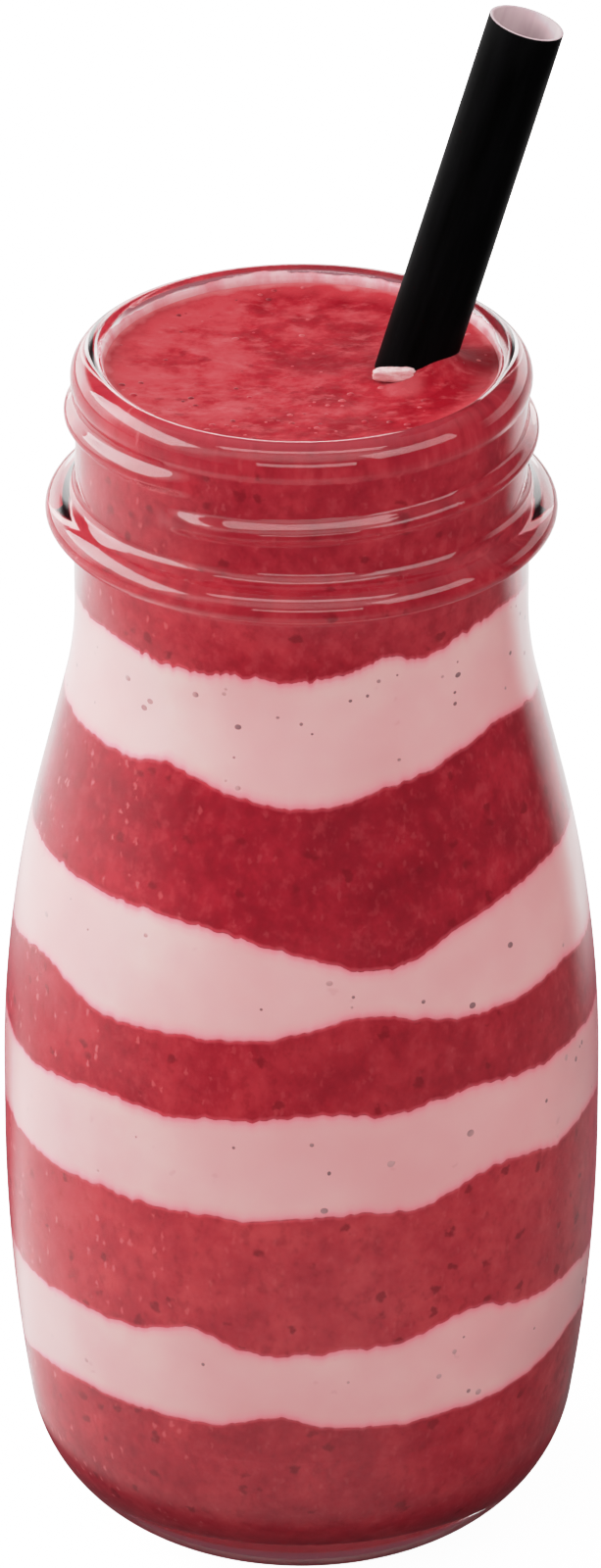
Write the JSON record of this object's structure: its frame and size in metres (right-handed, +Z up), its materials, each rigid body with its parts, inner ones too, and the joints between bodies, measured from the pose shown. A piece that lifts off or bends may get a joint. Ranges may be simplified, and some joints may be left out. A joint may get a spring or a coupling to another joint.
{
  "type": "strawberry smoothie",
  "caption": "Layered strawberry smoothie in a small clear screw-neck milk bottle with a black drinking straw.",
  "frame": {"origin": "on the floor at the bottle's axis, under the middle of the bounding box", "axes": "+Z up along the bottle's axis, front towards -Y, straw leaning towards +X"},
  "size_m": [0.06, 0.06, 0.1642],
  "materials": {
    "glass": "clear, smooth and glossy",
    "smoothie": "thick strawberry drink, wet satin",
    "cream": "pale pink cream, wet satin",
    "straw": "black paper, satin, with a pale inside"
  },
  "bodies": {
    "root": {"bottle": "glass", "smoothie_layer_1": "smoothie", "cream_layer_1": "cream", "smoothie_layer_2": "smoothie", "cream_layer_2": "cream", "smoothie_layer_3": "smoothie", "cream_layer_3": "cream", "smoothie_layer_4": "smoothie", "cream_layer_4": "cream", "smoothie_layer_5": "smoothie", "straw": "straw"}
  },
  "joints": []
}
